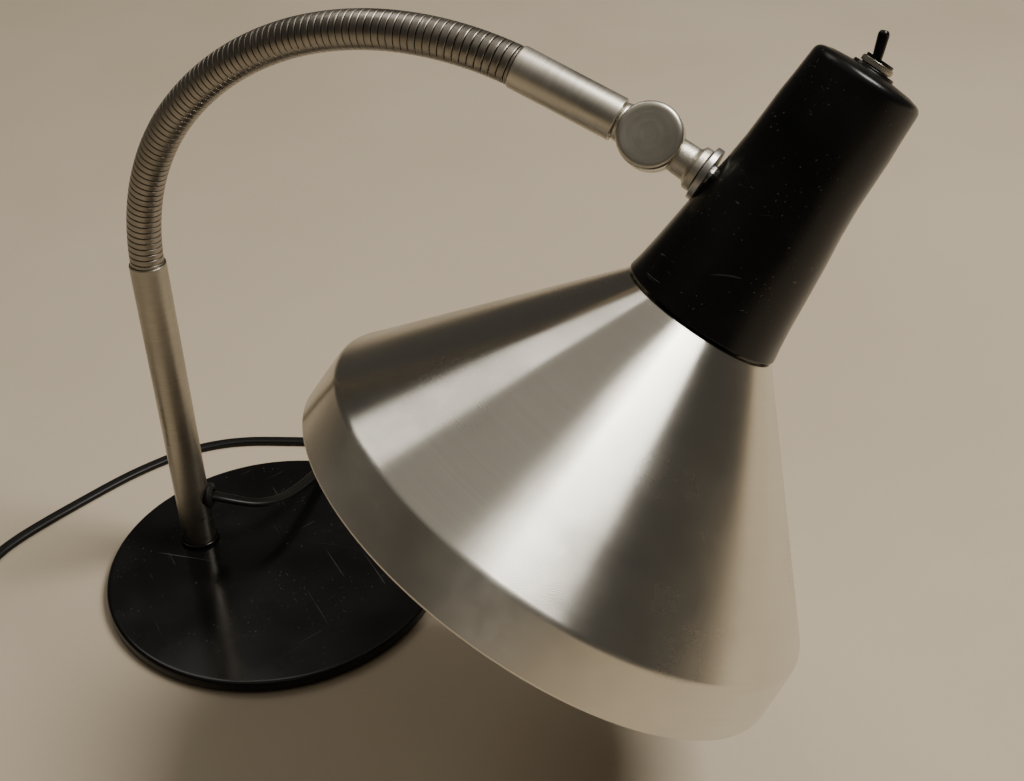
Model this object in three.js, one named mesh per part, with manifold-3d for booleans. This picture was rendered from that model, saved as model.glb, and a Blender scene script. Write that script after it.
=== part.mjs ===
// Gooseneck desk lamp: round weighted base, steel stem, ribbed gooseneck, disc knuckle,
// black switch housing and a spun aluminium cone shade. Millimetres, +Z up.
// Origin: centre of the base's underside. The arm leans over the base along +X.
import * as THREE from 'three';
import { mergeVertices } from 'three/addons/utils/BufferGeometryUtils.js';
import Module from 'manifold-3d';

const wasm = await Module();
wasm.setup();

const GAP = 0.3; // air between neighbouring pieces
const DEG = Math.PI / 180;

// Base
const BASE_RADIUS = 85;
const BASE_TOP = 6.8;
const BASE_EDGE_FILLET = 2.4;
const FELT_THICKNESS = 0.8;
const FELT_RADIUS = 81;
const PLATE_BOTTOM = FELT_THICKNESS + GAP;
const NUT_POCKET_RADIUS = 12;
const NUT_POCKET_TOP = 4.8;

// Stem, which stands behind the centre of the base
const STEM_X = -46.4;
const STEM_RADIUS = 8.45;
const STEM_WALL = 1.2;
const STEM_BOTTOM = BASE_TOP + GAP;
const STEM_TOP = 171;
const STEM_BORE = STEM_RADIUS - STEM_WALL;
const NIPPLE_RADIUS = 4.85; // M10 lamp thread
const NIPPLE_BORE = 3.2;
const NIPPLE_CLEARANCE = NIPPLE_RADIUS + GAP;

// Cord outlet in the stem's side
const OUTLET_Z = 35.5;
const OUTLET_AZIMUTH = 20 * DEG;
const OUTLET_RADIUS = 5.2;

// Gooseneck: two arcs in the XZ plane, each [radius, turn]
const NECK_RADIUS = 7.6;
const NECK_BORE = 4.4;
const NECK_START_HEADING = 88.45 * DEG;
const NECK_ARCS = [[120.3, 41.94 * DEG], [147.5, 64.03 * DEG]];
const NECK_LENGTH = NECK_ARCS.reduce((sum, [radius, turn]) => sum + radius * turn, 0);
const NECK_JOINTS = 7;
const NECK_PITCH = NECK_LENGTH / NECK_JOINTS;
const LINK_END_GAP = 1.4; // each link stops this far short of its joint's centre
const NECK_END_GAP = 0.8; // air at the stem's top and at the sleeve's end
const FLEX_RADIUS = 2.2;

// Sleeve and knuckle
const SLEEVE_SLOPE = 20.2 * DEG;
const SLEEVE_RADIUS = 8.2;
const SLEEVE_WALL = 1.1;
const SLEEVE_LENGTH = 41.7;
const SLEEVE_TO_KNUCKLE = 13.2;
const KNUCKLE_ROLL = 31.43 * DEG;
const KNUCKLE_TILT = 6.47 * DEG;
const KNUCKLE_RADIUS = 12.1;
const KNUCKLE_HALF = 8.4;
const KNUCKLE_FILLET = 1.9;
const KNUCKLE_POCKET_RADIUS = 7.8;
const KNUCKLE_POCKET_DEPTH = 4.4;
const SPIGOT_RADIUS = 6.4;
const KNUCKLE_SCREW_RADIUS = 2.4;
const LEAD_OFFSET = 2.7; // the flex passes the screw beside the parting face
const LEAD_RADIUS = 1.8;

// Swivel neck, head and shade; the shade's axis runs at right angles to the swivel nipple
const HEAD_SWIVEL = 8.94 * DEG;
const HEAD_OFFSET = 50.5; // knuckle centre to the shade's axis
const NECK_STUB_RADIUS = 6.4;
const COLLAR_RADIUS = 8.4;
const COLLAR_START = 18.6;
const COLLAR_END = 21.6;
const WASHER_RADIUS = 10.4;
const WASHER_START = COLLAR_END + GAP;
const WASHER_THICKNESS = 4.8; // before its back is shaped to the housing
const JUNCTION_DROP = 41.7; // knuckle level down to the joint of housing and shade
const HOUSING_WALL = 2;
const SHADE_WALL = 1;
const SHOULDER_RADIUS = 103.1;
const SHOULDER_DROP = 84.5; // junction down to the crease between cone and rim band
const SHADE_MOUTH = 107; // junction down to the mouth
const HOLDER_RADIUS = 19.6;
const BULB_RADIUS = 30;

// Switch
const SWITCH_PIVOT = 101.5; // above the junction
const LEVER_LEAN = 20 * DEG;

// Cord: flat twin flex, laid behind the base, then coiled
const CORD_WIDTH = 6;
const CORD_THICKNESS = 3.2;
const CORD_ROUTE = [
  [-39.9, 2.3, 35.5], [-36.2, 3.6, 35.4], [-32.0, 5.2, 34.4], [-28.0, 7.4, 32.8], [-23.6, 10.4, 30.6],
  [-18.8, 14.6, 28.0], [-15.2, 20.4, 25.4], [-13.0, 27.8, 22.6], [-12.2, 36.6, 19.8],
  [-12.2, 46.2, 17.2], [-12.8, 56.0, 14.8], [-13.4, 65.8, 12.4], [-14.2, 75.0, 10.2],
  [-15.4, 83.4, 8.6], [-18.0, 91.4, 6.0], [-23.4, 98.0, 3.4], [-31.6, 101.4, 2.0],
  [-40.8, 100.4, 1.7], [-51.2, 96.6, 1.7], [-62.2, 92.4, 1.7], [-73.2, 87.6, 1.7],
  [-84.8, 80.6, 1.7], [-95.6, 71.2, 1.7], [-103.4, 61.2, 1.7], [-110.4, 49.4, 1.7],
  [-116.8, 36.6, 1.7], [-122.0, 23.6, 1.7], [-126.8, 9.8, 1.7], [-131.4, -4.0, 1.7],
  [-135.8, -18.0, 1.7], [-139.4, -31.6, 1.7], [-141.2, -44.0, 1.7], [-140.6, -56.0, 1.9],
  [-138.6, -66.0, 2.3], [-137.2, -74.0, 2.7],
];
const COIL_CENTRE = [-178, -94];
const COIL_INNER = 23.8;
const COIL_OUTER = 42.2;
const COIL_BOTTOM = 1.1;
const COIL_TOP = 8.2;
const TAIL_ROUTE = [
  [-221.6, -88.0, 6.2], [-222.0, -80.0, 6.5], [-222.8, -72.0, 6.8], [-224.2, -64.0, 6.9],
  [-226.2, -56.0, 6.9],
];
const PLUG_HEADING = 105 * DEG;
const PLUG_THICKNESS = 13.6;
const PLUG_WIDTH = 34;
const PLUG_LENGTH = 33;
const PLUG_BOOT_LENGTH = 11;
const PIN_SPACING = 18.6;
const PIN_RADIUS = 2;
const PIN_LENGTH = 19;

// ---------------------------------------------------------------- materials

function finish(color, roughness, metalness) {
  return new THREE.MeshStandardMaterial({ color, roughness, metalness });
}

const blackEnamel = finish(0x0c0c0c, 0.2, 0);
const blackFelt = finish(0x1a1a1a, 0.95, 0);
const steel = finish(0x8e8a82, 0.35, 1);
const zincSteel = finish(0x9a9a96, 0.45, 1);
const spunAluminium = finish(0xc9c4b8, 0.32, 1);
const blackRubber = finish(0x101010, 0.7, 0);
const blackPhenolic = finish(0x0d0d0d, 0.3, 0);
const brass = finish(0xb08a4a, 0.35, 1);
const blackFlex = finish(0x121212, 0.5, 0);
const whiteGlass = finish(0xf2efe6, 0.3, 0);

// ---------------------------------------------------------------- solids

// A turned piece about +Z: profile holds [radius, height] points.
function turned(profile, sides = 24) {
  const points = profile.map(([radius, height]) => new THREE.Vector2(radius, height));
  const geometry = new THREE.LatheGeometry(points, sides);
  geometry.rotateX(Math.PI / 2);
  return outward(geometry);
}

// Turns a shape's faces outward when its signed volume is negative.
function outward(geometry) {
  const flat = geometry.index ? geometry.toNonIndexed() : geometry;
  const position = flat.getAttribute('position');
  const [a, b, c] = [new THREE.Vector3(), new THREE.Vector3(), new THREE.Vector3()];
  let volume = 0;
  for (let i = 0; i < position.count; i += 3) {
    a.fromBufferAttribute(position, i);
    b.fromBufferAttribute(position, i + 1);
    c.fromBufferAttribute(position, i + 2);
    volume += a.dot(b.cross(c));
  }
  if (volume >= 0) return geometry;
  const flipped = new Float32Array(position.array);
  for (let i = 0; i < position.count * 3; i += 9) {
    for (let k = 0; k < 3; k += 1) {
      flipped[i + 3 + k] = position.array[i + 6 + k];
      flipped[i + 6 + k] = position.array[i + 3 + k];
    }
  }
  const result = new THREE.BufferGeometry();
  result.setAttribute('position', new THREE.BufferAttribute(flipped, 3));
  return result;
}

// A ring about +Z between two radii and two heights.
function ring(inner, outer, bottom, top, sides = 24) {
  return turned(
    [[inner, bottom], [outer, bottom], [outer, top], [inner, top], [inner, bottom]], sides);
}

// A disc or rod about +Z.
function rod(radius, bottom, top, sides = 20) {
  return turned([[0, bottom], [radius, bottom], [radius, top], [0, top]], sides);
}

// A box from its lowest to its highest corner.
function block(low, high) {
  const size = high.map((value, i) => value - low[i]);
  const geometry = new THREE.BoxGeometry(...size);
  return geometry.translate(...low.map((value, i) => value + size[i] / 2));
}

// Lays a piece built about +Z down, so that its axis is +X.
function alongX(geometry) {
  return geometry.rotateY(Math.PI / 2);
}

// Lays a piece built about +Z down, so that its axis is +Y.
function alongY(geometry) {
  return geometry.rotateX(-Math.PI / 2);
}

function toSolid(geometry) {
  const bare = new THREE.BufferGeometry();
  bare.setAttribute('position', geometry.getAttribute('position').clone());
  if (geometry.index) bare.setIndex(geometry.index.clone());
  const merged = mergeVertices(bare, 1e-4);
  const index = Array.from(merged.index.array);
  const triangles = [];
  for (let i = 0; i < index.length; i += 3) {
    const [p, q, r] = index.slice(i, i + 3);
    if (p !== q && q !== r && r !== p) triangles.push(p, q, r);
  }
  return new wasm.Manifold(new wasm.Mesh({
    numProp: 3,
    vertProperties: Float32Array.from(merged.getAttribute('position').array),
    triVerts: Uint32Array.from(triangles),
  }));
}

function fromSolid(solid) {
  const mesh = solid.getMesh();
  const geometry = new THREE.BufferGeometry();
  geometry.setAttribute('position', new THREE.BufferAttribute(mesh.vertProperties, 3));
  geometry.setIndex(new THREE.BufferAttribute(mesh.triVerts, 1));
  return geometry;
}

function cut(body, ...tools) {
  return fromSolid(tools.reduce((solid, tool) => solid.subtract(toSolid(tool)), toSolid(body)));
}

function joined(...bodies) {
  return fromSolid(bodies.map(toSolid).reduce((solid, body) => solid.add(body)));
}

// A quarter round from one profile point to another about their corner.
function rounded([r1, z1], [r2, z2], [rc, zc], steps = 4) {
  const points = [];
  for (let i = 0; i <= steps; i += 1) {
    const t = i / steps;
    const [a, b, c] = [(1 - t) ** 2, 2 * t * (1 - t), t ** 2];
    points.push([a * r1 + b * rc + c * r2, a * z1 + b * zc + c * z2]);
  }
  return points;
}

function circleShape(radius, sides, bore = 0, boreSides = 8) {
  const outline = (r, n) => Array.from({ length: n }, (_, i) => (
    new THREE.Vector2(r * Math.cos(2 * Math.PI * i / n), r * Math.sin(2 * Math.PI * i / n))));
  const shape = new THREE.Shape(outline(radius, sides));
  if (bore > 0) shape.holes.push(new THREE.Path(outline(bore, boreSides)));
  return shape;
}

function alongCurve(shape, curve, steps) {
  return outward(new THREE.ExtrudeGeometry(shape, {
    steps, extrudePath: curve, bevelEnabled: false, curveSegments: 8,
  }));
}

function leadAlong(points, radius, steps, sides = 6) {
  const curve = new THREE.CatmullRomCurve3(points.map((point) => new THREE.Vector3(...point)));
  return alongCurve(circleShape(radius, sides), curve, steps);
}

// ---------------------------------------------------------------- gooseneck line

// Place and heading of the gooseneck's centre line at arc length s from the stem's top.
function neckAt(s) {
  let [x, z, heading, left] = [STEM_X, STEM_TOP, NECK_START_HEADING, s];
  for (const [radius, turn] of NECK_ARCS) {
    const angle = Math.min(left / radius, turn);
    x += radius * (Math.sin(heading) - Math.sin(heading - angle));
    z += radius * (Math.cos(heading - angle) - Math.cos(heading));
    heading -= angle;
    left -= radius * angle;
    if (left <= 1e-9) break;
  }
  return { point: new THREE.Vector3(x, 0, z), heading };
}

class NeckStretch extends THREE.Curve {
  constructor(from, to) {
    super();
    this.from = from;
    this.to = to;
  }

  getPoint(t) {
    return neckAt(this.from + (this.to - this.from) * t).point;
  }
}

// ---------------------------------------------------------------- assembly

const lamp = new THREE.Group();

function add(parent, name, geometry, material) {
  const mesh = new THREE.Mesh(geometry, material);
  mesh.name = name;
  parent.add(mesh);
  return mesh;
}

function frameAt(parent, position, { turnX = 0, turnY = 0, turnZ = 0 } = {}) {
  const frame = new THREE.Group();
  frame.position.set(...position);
  frame.rotation.set(turnX, turnY, turnZ);
  parent.add(frame);
  return frame;
}

function hexNut(across, bore, bottom, top) {
  return cut(rod(across / Math.sqrt(3), bottom, top, 6), rod(bore, bottom - 1, top + 1, 20));
}

// Base plate with its felt and the fixings that hold the stem down
function addBase() {
  const stemFrame = frameAt(lamp, [STEM_X, 0, 0]);
  const outline = [
    [0, PLATE_BOTTOM],
    [BASE_RADIUS - 0.6, PLATE_BOTTOM],
    [BASE_RADIUS, PLATE_BOTTOM + 0.6],
    ...rounded([BASE_RADIUS, BASE_TOP - BASE_EDGE_FILLET],
      [BASE_RADIUS - BASE_EDGE_FILLET, BASE_TOP], [BASE_RADIUS, BASE_TOP], 3),
    [0, BASE_TOP],
  ];
  const pocket = rod(NUT_POCKET_RADIUS, 0, NUT_POCKET_TOP).translate(STEM_X, 0, 0);
  const hole = rod(NIPPLE_CLEARANCE, 0, BASE_TOP + 1).translate(STEM_X, 0, 0);
  add(lamp, 'base_plate', cut(turned(outline, 48), pocket, hole), blackEnamel);
  add(lamp, 'base_felt', rod(FELT_RADIUS, 0, FELT_THICKNESS, 40), blackFelt);
  add(stemFrame, 'base_washer',
    ring(NIPPLE_CLEARANCE, 10, NUT_POCKET_TOP - GAP - 0.9, NUT_POCKET_TOP - GAP), zincSteel);
  add(stemFrame, 'base_nut',
    hexNut(14, NIPPLE_CLEARANCE, PLATE_BOTTOM + 0.2, NUT_POCKET_TOP - 0.9 - 2 * GAP), zincSteel);
  add(stemFrame, 'base_nipple',
    ring(NIPPLE_BORE, NIPPLE_RADIUS, PLATE_BOTTOM + 0.2, 20, 20), zincSteel);
  return stemFrame;
}

// Stem tube, its foot ring, the bushes at its ends and the cord outlet
function addStem(stemFrame) {
  add(stemFrame, 'foot_ring', turned([
    [STEM_RADIUS + GAP, STEM_BOTTOM],
    [9.9, STEM_BOTTOM],
    [9.9, STEM_BOTTOM + 1.2],
    [9.4, STEM_BOTTOM + 1.9],
    [STEM_RADIUS + GAP, STEM_BOTTOM + 1.9],
    [STEM_RADIUS + GAP, STEM_BOTTOM],
  ]), steel);
  const drill = rod(OUTLET_RADIUS + GAP, 0, STEM_RADIUS * 2, 20);
  alongX(drill).rotateZ(OUTLET_AZIMUTH).translate(0, 0, OUTLET_Z);
  add(stemFrame, 'stem_tube', cut(ring(STEM_BORE, STEM_RADIUS, STEM_BOTTOM, STEM_TOP), drill), steel);
  add(stemFrame, 'stem_foot_bush',
    ring(NIPPLE_CLEARANCE, STEM_BORE - GAP, STEM_BOTTOM, 20, 20), zincSteel);
  add(stemFrame, 'stem_top_bush',
    ring(NECK_BORE, STEM_BORE - GAP, STEM_TOP - 18, STEM_TOP, 20), zincSteel);
  const outlet = turned([
    [3.2, 5.6],
    [OUTLET_RADIUS, 5.6],
    [OUTLET_RADIUS, 9.2],
    [6.6, 9.4],
    ...rounded([6.6, 10.2], [4.6, 11.4], [6.4, 11.3], 3),
    [3.2, 11.4],
    [3.2, 5.6],
  ], 16);
  alongX(outlet).rotateZ(OUTLET_AZIMUTH).translate(0, 0, OUTLET_Z);
  add(stemFrame, 'cord_grommet', outlet, blackRubber);
  const inlet = [Math.cos(OUTLET_AZIMUTH), Math.sin(OUTLET_AZIMUTH)];
  add(stemFrame, 'flex_in_stem', leadAlong([
    [inlet[0] * 3.0, inlet[1] * 3.0, OUTLET_Z + 0.5],
    [inlet[0] * 1.4, inlet[1] * 1.4, OUTLET_Z + 6],
    [0, 0, OUTLET_Z + 16],
    [0, 0, STEM_TOP - 1],
  ], FLEX_RADIUS, 8), blackFlex);
}

// Gooseneck: a stub in the stem, links between the bending points, a stub in the sleeve
function addNeck() {
  for (let i = 0; i <= NECK_JOINTS; i += 1) {
    const from = i === 0 ? NECK_END_GAP : (i - 0.5) * NECK_PITCH + LINK_END_GAP;
    const to = i === NECK_JOINTS ? NECK_LENGTH - NECK_END_GAP : (i + 0.5) * NECK_PITCH - LINK_END_GAP;
    const steps = i === 0 || i === NECK_JOINTS ? 2 : 4;
    const tube = circleShape(NECK_RADIUS, 14, NECK_BORE, 7);
    add(lamp, `neck_link_${i}`, alongCurve(tube, new NeckStretch(from, to), steps), steel);
  }
}

// Sleeve tube and its bush; the frame's origin is the knuckle's centre, +X along the sleeve
function addSleeve(frame) {
  const start = -SLEEVE_TO_KNUCKLE - SLEEVE_LENGTH;
  const bore = SLEEVE_RADIUS - SLEEVE_WALL;
  add(frame, 'sleeve_tube',
    alongX(ring(bore, SLEEVE_RADIUS, start, -SLEEVE_TO_KNUCKLE)), steel);
  add(frame, 'sleeve_bush', alongX(ring(NECK_BORE, bore - GAP, start, start + 14, 20)), zincSteel);
}

// One knuckle half about Y from y = GAP / 2 outward, before its neck is joined
function knuckleDisc() {
  const inner = GAP / 2;
  return alongY(turned([
    [0, inner],
    [KNUCKLE_RADIUS, inner],
    ...rounded([KNUCKLE_RADIUS, KNUCKLE_HALF - KNUCKLE_FILLET],
      [KNUCKLE_RADIUS - KNUCKLE_FILLET, KNUCKLE_HALF], [KNUCKLE_RADIUS, KNUCKLE_HALF], 3),
    [0, KNUCKLE_HALF],
  ], 32));
}

function knucklePocket() {
  return alongY(rod(KNUCKLE_POCKET_RADIUS, -1, KNUCKLE_POCKET_DEPTH, 20));
}

// Knuckle half that grips the sleeve, with the screw that clamps the joint
function addKnuckleRear(frame) {
  const spigot = alongX(rod(SPIGOT_RADIUS, -26, -KNUCKLE_RADIUS - 0.6));
  const root = block([-KNUCKLE_RADIUS - 0.8, GAP / 2, -5.5], [-8, 5.5, 5.5]);
  const leadBore = alongX(rod(3, -30, -KNUCKLE_RADIUS - 0.5, 16));
  const leadGroove = alongX(rod(2.6, -21, 0, 16)).translate(0, LEAD_OFFSET, 0);
  const screwHole = alongY(rod(KNUCKLE_SCREW_RADIUS + GAP, 0, KNUCKLE_HALF + 1, 16));
  const headSink = alongY(rod(4.9, KNUCKLE_HALF - 2.4, KNUCKLE_HALF + 1, 20));
  const body = joined(knuckleDisc(), spigot, root);
  add(frame, 'knuckle_rear', cut(body, knucklePocket(), leadBore, leadGroove, screwHole, headSink), steel);
  const screw = joined(
    alongY(rod(KNUCKLE_SCREW_RADIUS, -6.4, KNUCKLE_HALF - 1, 16)),
    alongY(rod(4.3, KNUCKLE_HALF - 2.1, KNUCKLE_HALF - 0.2, 20)),
  );
  const slot = block([-5, KNUCKLE_HALF - 0.9, -0.5], [5, KNUCKLE_HALF + 1, 0.5]);
  add(frame, 'knuckle_screw', cut(screw, slot), zincSteel);
  add(frame, 'flex_in_sleeve', leadAlong([
    [-SLEEVE_TO_KNUCKLE - SLEEVE_LENGTH + 1, 0, 0], [-24, 0, 0], [-19, 0.3, 0],
    [-15.5, 1.2, 0], [-12.6, 2.2, 0], [-9, LEAD_OFFSET, 0], [-5.4, LEAD_OFFSET, 0],
  ], LEAD_RADIUS, 10), blackFlex);
  add(frame, 'knuckle_spring_washer', alongY(ring(3, 4.5, 2.9, 4.1, 20)), zincSteel);
}

// Knuckle half with the swivel neck and its collar
function addKnuckleFront(frame) {
  const disc = knuckleDisc().rotateZ(Math.PI);
  const neck = alongX(turned([
    [0, KNUCKLE_RADIUS + 0.6],
    [NECK_STUB_RADIUS, KNUCKLE_RADIUS + 0.6],
    [NECK_STUB_RADIUS, COLLAR_START - 0.8],
    [COLLAR_RADIUS, COLLAR_START],
    [COLLAR_RADIUS, COLLAR_END],
    [0, COLLAR_END],
  ]));
  const root = block([8, -5.5, -5.5], [KNUCKLE_RADIUS + 2, -GAP / 2, 5.5]);
  const threadBore = alongX(rod(NIPPLE_CLEARANCE, 17.4, COLLAR_END + 1, 20));
  const leadBore = alongX(rod(3, KNUCKLE_RADIUS + 0.5, COLLAR_END, 16));
  const leadGroove = alongX(rod(2.6, 0, 18, 16)).translate(0, -LEAD_OFFSET, 0);
  const screwHole = alongY(rod(KNUCKLE_SCREW_RADIUS + GAP, -6.8, 0, 16));
  const pocket = knucklePocket().rotateZ(Math.PI);
  const body = joined(disc, neck, root);
  add(frame, 'knuckle_front',
    cut(body, pocket, leadBore, leadGroove, threadBore, screwHole), steel);
  add(frame, 'swivel_nipple',
    alongX(ring(NIPPLE_BORE, NIPPLE_RADIUS, 17.7, 35.5, 20)), zincSteel);
  add(frame, 'swivel_inner_washer', alongX(ring(NIPPLE_CLEARANCE, 7, 30.9, 31.7, 20)), zincSteel);
  const nut = alongX(cut(rod(14 / Math.sqrt(3), 32, 34.6, 6), rod(NIPPLE_CLEARANCE, 31, 36, 20)));
  add(frame, 'swivel_nut', nut, zincSteel);
  add(frame, 'flex_in_swivel', leadAlong([
    [5.4, -LEAD_OFFSET, 0], [9, -LEAD_OFFSET, 0], [12.6, -2.2, 0], [15.5, -1.2, 0],
    [19, -0.3, 0], [24, 0, 0], [37, 0, 0],
  ], LEAD_RADIUS, 10), blackFlex);
}

// Outer and inner walls of the housing, from the top down to its mouth; heights are above the
// junction with the shade
function housingOuter() {
  return [
    [0, 102.2],
    [7.6, 102.2],
    [7.9, 101.4],
    [15.6, 100.2],
    ...rounded([17, 99.9], [20.9, 94], [20.6, 99.2], 3),
    [22.3, 80],
    [23.2, 60],
    [25.8, 39],
    [28.9, 14],
    [31.2, 0.5],
  ];
}

function addHousing(head) {
  const outer = housingOuter();
  const inner = [
    [29.4, 0.5],
    [26.9, 14],
    [23.8, 39],
    [21.2, 60],
    [20.3, 80],
    [18.6, 94],
    [16, 98],
    [0, 99],
  ];
  const shell = turned([...outer, ...inner], 36);
  const nippleHole = alongX(rod(NIPPLE_CLEARANCE + 0.1, -HEAD_OFFSET, -15, 20));
  nippleHole.translate(0, 0, JUNCTION_DROP);
  const switchHole = rod(5.6, 96, 104, 20);
  add(head, 'lamp_housing', cut(shell, nippleHole, switchHole), blackPhenolic);
  const washer = alongX(ring(NIPPLE_CLEARANCE + 0.1, WASHER_RADIUS, 0, WASHER_THICKNESS));
  washer.translate(WASHER_START - HEAD_OFFSET, 0, JUNCTION_DROP);
  add(head, 'swivel_washer', cut(washer, turned([...outer, [0, 0.5]], 40)
    .scale(1.014, 1.014, 1)), zincSteel);
}

// Spun shade: straight cone, crisp shoulder and upright rim band with a beaded mouth
function addShade(head) {
  const outer = [
    [30.6, -0.6],
    [SHOULDER_RADIUS, -SHOULDER_DROP],
    [104.6, -SHADE_MOUTH + 1],
    [104.2, -SHADE_MOUTH],
    [103, -SHADE_MOUTH],
  ];
  const inner = [
    [103, -SHADE_MOUTH + 2],
    [SHOULDER_RADIUS - SHADE_WALL, -SHOULDER_DROP - 0.4],
    [30.1, -0.6 - SHADE_WALL],
    [20.4, -0.6 - SHADE_WALL],
    [20.4, -0.6],
    [30.6, -0.6],
  ];
  add(head, 'shade', turned([...outer, ...inner], 44), spunAluminium);
}

// Lampholder on its bracket, with the ring that clamps the shade, and the bulb
function addLampholder(head) {
  const strapX = 30.6 - HEAD_OFFSET;
  const strap = joined(
    block([strapX - 1.2, -5.5, 21], [strapX, 5.5, JUNCTION_DROP + 7.5]),
    block([strapX - 1.2, -5.5, 21], [8, 5.5, 22.2]),
  );
  const swivelHole = alongX(rod(NIPPLE_CLEARANCE, -30, 0, 20)).translate(0, 0, JUNCTION_DROP);
  add(head, 'holder_bracket', cut(strap, swivelHole, rod(NIPPLE_CLEARANCE, 18, 26, 20)), zincSteel);
  add(head, 'holder_nipple', ring(NIPPLE_BORE, NIPPLE_RADIUS, 17.8, 26, 20), zincSteel);
  add(head, 'holder_nut', hexNut(14, NIPPLE_CLEARANCE, 22.5, 24.9), zincSteel);
  add(head, 'lampholder_cap', turned([
    [NIPPLE_CLEARANCE, 20.6],
    [11, 20.6],
    ...rounded([14, 19.6], [18.8, 12], [18.4, 18], 3),
    [18.8, 3.6],
    [16.8, 3.6],
    [16.8, 11],
    [10, 17.4],
    [NIPPLE_CLEARANCE, 17.4],
    [NIPPLE_CLEARANCE, 20.6],
  ]), blackPhenolic);
  add(head, 'lampholder_shoulder', ring(17, 27.4, 0.2, 3.2, 32), blackPhenolic);
  add(head, 'lampholder_skirt', ring(16.2, HOLDER_RADIUS, -30, -0.1, 32), blackPhenolic);
  add(head, 'lampholder_ring', turned([
    [HOLDER_RADIUS + GAP, -8],
    [25.6, -8],
    [27.4, -6.4],
    [27.4, -2],
    [HOLDER_RADIUS + GAP, -2],
    [HOLDER_RADIUS + GAP, -8],
  ], 32), blackPhenolic);
  add(head, 'screw_shell', ring(13.7, 14.4, -24.6, 2), brass);
  add(head, 'contact_carrier', rod(13, 3.2, 9, 24), finish(0xe8e4da, 0.4, 0));
  add(head, 'centre_contact', block([-4, -2.4, 1.9], [4, 2.4, 2.9]), brass);
  add(head, 'bulb_cap', turned([
    [0, 1.6],
    [4.6, 1.6],
    [8, 0],
    [13.1, -4],
    [13.1, -25],
    [12.4, -25],
    [12.4, -4.5],
    [8, -1],
    [0, -1],
  ]), brass);
  add(head, 'bulb_glass', turned([
    [11, -25.3],
    [13.2, -25.3],
    [14.2, -30],
    [18.5, -41],
    ...rounded([24.5, -52], [BULB_RADIUS, -70], [29.6, -60], 3),
    ...rounded([BULB_RADIUS, -73], [14, -98], [BULB_RADIUS, -90], 3),
    [0, -101.5],
    [0, -100.3],
    ...rounded([14, -96.8], [BULB_RADIUS - 1.2, -73], [BULB_RADIUS - 1.2, -89], 3),
    ...rounded([BULB_RADIUS - 1.2, -70], [23.5, -52], [28.4, -60], 3),
    [17.4, -41],
    [13, -30],
    [11, -27],
    [11, -25.3],
  ], 20), whiteGlass);
}

// Toggle switch under the housing's top, its dress nut, lever and the leads
function addSwitch(head) {
  const body = joined(block([-7, -6, 80], [7, 6, 96.4]), rod(5.2, 96, 105.6, 20));
  const leverBore = turned([[0, 99], [2.9, 99], [4.5, 106], [0, 106]], 20);
  add(head, 'switch_body', cut(body, leverBore), blackPhenolic);
  add(head, 'switch_nut', turned([
    [5.5, 102.5],
    [6, 102.5],
    [6, 104],
    [5.5, 104.6],
    [5.5, 102.5],
  ], 24), steel);
  const pivot = frameAt(head, [0, 0, SWITCH_PIVOT], { turnY: -LEVER_LEAN });
  const lever = turned([
    [0, -1],
    [1, -1],
    [1.5, 2],
    [1.8, 5],
    ...rounded([2, 12.2], [1.2, 13.4], [2, 13.4], 2),
    [0, 13.4],
  ], 16);
  add(pivot, 'switch_lever', lever, blackPhenolic);
  for (const side of [-1, 1]) {
    const name = side < 0 ? 'left' : 'right';
    add(head, `switch_terminal_${name}`, block([side * 4 - 0.4, -2, 76], [side * 4 + 0.4, 2, 79.7]), brass);
    add(head, `switch_lead_${name}`, leadAlong([
      [side * 4, 0, 75.4],
      [side * 4, 0, 70],
      [8, side * 6, 48],
      [10, side * 9, 21.8],
    ], 1.1, 8), blackFlex);
  }
}

// Cord on the table: its run, the stored coil with a tie, the tail and the plug
function addCord() {
  const section = circleShape(CORD_THICKNESS / 2, 8);
  const run = new THREE.CatmullRomCurve3(CORD_ROUTE.map((point) => new THREE.Vector3(...point)));
  add(lamp, 'cord_run', alongCurve(section, run, 36), blackFlex);
  const coil = frameAt(lamp, [...COIL_CENTRE, 0]);
  add(coil, 'cord_coil', turned([
    [COIL_INNER, COIL_BOTTOM + 1],
    [COIL_INNER + 1, COIL_BOTTOM],
    [COIL_OUTER - 1, COIL_BOTTOM],
    [COIL_OUTER, COIL_BOTTOM + 1],
    [COIL_OUTER, COIL_TOP - 1],
    [COIL_OUTER - 1, COIL_TOP],
    [COIL_INNER + 1, COIL_TOP],
    [COIL_INNER, COIL_TOP - 1],
    [COIL_INNER, COIL_BOTTOM + 1],
  ], 28), blackFlex);
  const tieOuter = block([-2.5, COIL_INNER - 1.2, 0.05], [2.5, COIL_OUTER + 1.2, COIL_TOP + 1]);
  const tieInner = block([-4, COIL_INNER - 0.4, 0.75], [4, COIL_OUTER + 0.4, COIL_TOP + 0.3]);
  const tieFrame = frameAt(coil, [0, 0, 0], { turnZ: 150 * DEG });
  add(tieFrame, 'cord_tie', cut(tieOuter, tieInner), blackRubber);
  const tail = new THREE.CatmullRomCurve3(TAIL_ROUTE.map((point) => new THREE.Vector3(...point)));
  add(lamp, 'cord_tail', alongCurve(section, tail, 8), blackFlex);
}

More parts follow.
